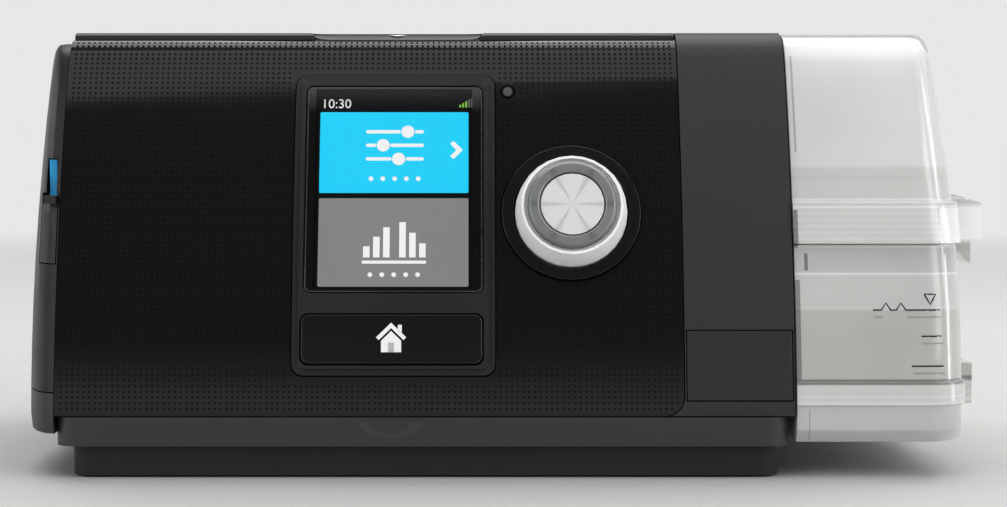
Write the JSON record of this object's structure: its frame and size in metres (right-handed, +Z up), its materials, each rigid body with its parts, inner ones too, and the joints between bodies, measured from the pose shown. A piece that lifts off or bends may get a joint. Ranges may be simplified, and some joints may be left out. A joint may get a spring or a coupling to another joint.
{
  "type": "bedside breathing machine",
  "caption": "Bedside breathing-pressure machine with a turn-and-press dial, screen, docked clear water tub, side card door and rear outlet.",
  "frame": {"origin": "centre of the footprint box, on the surface the feet rest on", "axes": "+X to the viewer's right (towards the water tub), -Y out of the front face, +Z up"},
  "size_m": [0.255, 0.15, 0.116],
  "materials": {
    "plinth": "fine matte grain",
    "chassis": "fine matte grain",
    "foot_rubber": "soft matte",
    "screw_steel": "zinc plated",
    "fascia": "high gloss, fine dots",
    "bezel": "satin",
    "lens": "clear hard coat",
    "display": "display cell",
    "home": "satin, printed mark",
    "sensor": "clear",
    "board": "lacquered board",
    "switch_body": "moulded",
    "encoder_case": "pressed sheet",
    "trim_ring": "gloss",
    "dial_white": "satin white",
    "dial_metal": "satin anodised",
    "dial_brushed": "radially brushed",
    "start_button": "satin, printed mark",
    "top_cover": "fine matte grain",
    "filter_door": "fine matte grain",
    "filter_media": "felted fibre",
    "intake_plastic": "moulded",
    "foam": "open cell foam",
    "boot_rubber": "silicone",
    "volute_plastic": "moulded",
    "impeller_plastic": "moulded",
    "motor_case": "coated steel",
    "bearing_steel": "ground",
    "inlet_plastic": "moulded",
    "side_panel": "satin",
    "card_door_grey": "satin",
    "card_blue": "moulded",
    "card_cage": "pressed sheet",
    "dock_grey": "fine matte grain",
    "dock_plate_grey": "satin",
    "liner": "satin",
    "heater_metal": "satin",
    "outlet": "satin",
    "tub_clear": "clear, faintly frosted",
    "tub_seal": "silicone",
    "tub_plate": "brushed"
  },
  "bodies": {
    "machine_base": {"base_plinth": "plinth", "base_chassis": "chassis", "rubber_foot_1": "foot_rubber", "rubber_foot_2": "foot_rubber", "rubber_foot_3": "foot_rubber", "rubber_foot_4": "foot_rubber", "base_screw_1": "screw_steel", "base_screw_2": "screw_steel", "base_screw_3": "screw_steel", "base_screw_4": "screw_steel", "front_fascia": "fascia", "display_bezel": "bezel", "screen_lens": "lens", "lcd_module": "display", "light_sensor_lens": "sensor", "main_circuit_board": "board", "rotary_encoder": "encoder_case", "home_switch": "switch_body", "start_switch": "switch_body", "dial_trim_ring": "trim_ring", "top_rear_cover": "top_cover", "air_filter": "filter_media", "intake_box": "intake_plastic", "intake_foam": "foam", "intake_box_lid": "intake_plastic", "blower_boot": "boot_rubber", "blower_volute": "volute_plastic", "blower_lid": "volute_plastic", "blower_motor": "motor_case", "motor_bearing_lower": "bearing_steel", "motor_bearing_upper": "bearing_steel", "power_inlet_socket": "inlet_plastic", "left_side_panel": "side_panel", "card_socket": "card_cage", "accessory_connector": "inlet_plastic", "dock_cover": "dock_grey", "dock_plate": "dock_plate_grey", "dock_liner": "liner", "dock_inlet_seal": "boot_rubber", "dock_outlet_seal": "boot_rubber", "heater_plate": "heater_metal", "air_outlet_elbow": "outlet"},
    "encoder_rotor": {"encoder_rotor": "encoder_case"},
    "dial": {"dial_skirt": "dial_white", "dial_cap_ring": "dial_metal", "dial_cap_disc": "dial_brushed"},
    "home_button": {"home_button": "home"},
    "start_stop_button": {"start_stop_button": "start_button"},
    "water_tub": {"tub_lid": "tub_clear", "tub_container": "tub_clear", "tub_lid_seal": "tub_seal", "tub_base_plate": "tub_plate", "lid_clip_pin": "screw_steel"},
    "tub_clip": {"tub_lid_clip": "tub_clear"},
    "card_door": {"card_door": "card_door_grey"},
    "memory_card": {"memory_card": "card_blue"},
    "accessory_cover": {"accessory_cover": "card_door_grey"},
    "filter_cover": {"filter_cover": "filter_door"},
    "retention_clip": {"power_retention_clip": "inlet_plastic"},
    "impeller": {"impeller": "impeller_plastic"}
  },
  "joints": [
    {"name": "dial_turn", "type": "hinge", "parent": "machine_base", "child": "encoder_rotor", "pos_m": [0.0174, -0.06321, 0.06822], "axis": [0, -0.9504, 0.311], "continuous": true},
    {"name": "dial_press", "type": "slide", "parent": "encoder_rotor", "child": "dial", "axis": [0, 0.9504, -0.311], "range_m": [0, 0.001], "stiffness_N_per_m": 700, "springref_m": -0.002},
    {"name": "home_press", "type": "slide", "parent": "machine_base", "child": "home_button", "axis": [0, 0.9807, -0.1957], "range_m": [0, 0.0008], "stiffness_N_per_m": 600, "springref_m": -0.002},
    {"name": "start_stop_press", "type": "slide", "parent": "machine_base", "child": "start_stop_button", "axis": [0, 0, -1], "range_m": [0, 0.0008], "stiffness_N_per_m": 600, "springref_m": -0.002},
    {"name": "tub_slide", "type": "slide", "parent": "machine_base", "child": "water_tub", "axis": [1, 0, 0], "range_m": [0, 0.1]},
    {"name": "tub_clip_flex", "type": "hinge", "parent": "water_tub", "child": "tub_clip", "pos_m": [0.1238, -0.029, 0.07], "axis": [0, -1, 0], "range_deg": [0, 10], "stiffness_Nm_per_rad": 0.3, "springref_deg": -4.58},
    {"name": "card_door_swing", "type": "hinge", "parent": "machine_base", "child": "card_door", "pos_m": [-0.1195, -0.06635, 0.0552], "axis": [1, 0, 0], "range_deg": [0, 80]},
    {"name": "card_push", "type": "slide", "parent": "machine_base", "child": "memory_card", "axis": [0, 1, 0], "range_m": [0, 0.001], "stiffness_N_per_m": 500, "springref_m": -0.002},
    {"name": "accessory_cover_pull", "type": "slide", "parent": "machine_base", "child": "accessory_cover", "axis": [-1, 0, 0], "range_m": [0, 0.01]},
    {"name": "filter_cover_swing", "type": "hinge", "parent": "machine_base", "child": "filter_cover", "pos_m": [-0.1024, 0.0704, 0.042], "axis": [0, 0, 1], "range_deg": [0, 95]},
    {"name": "retention_clip_swing", "type": "hinge", "parent": "machine_base", "child": "retention_clip", "pos_m": [-0.002, 0.07345, 0.046], "axis": [1, 0, 0], "range_deg": [0, 90]},
    {"name": "impeller_spin", "type": "hinge", "parent": "machine_base", "child": "impeller", "pos_m": [-0.05, 0.022, 0.075], "axis": [0, 0, 1], "continuous": true}
  ]
}
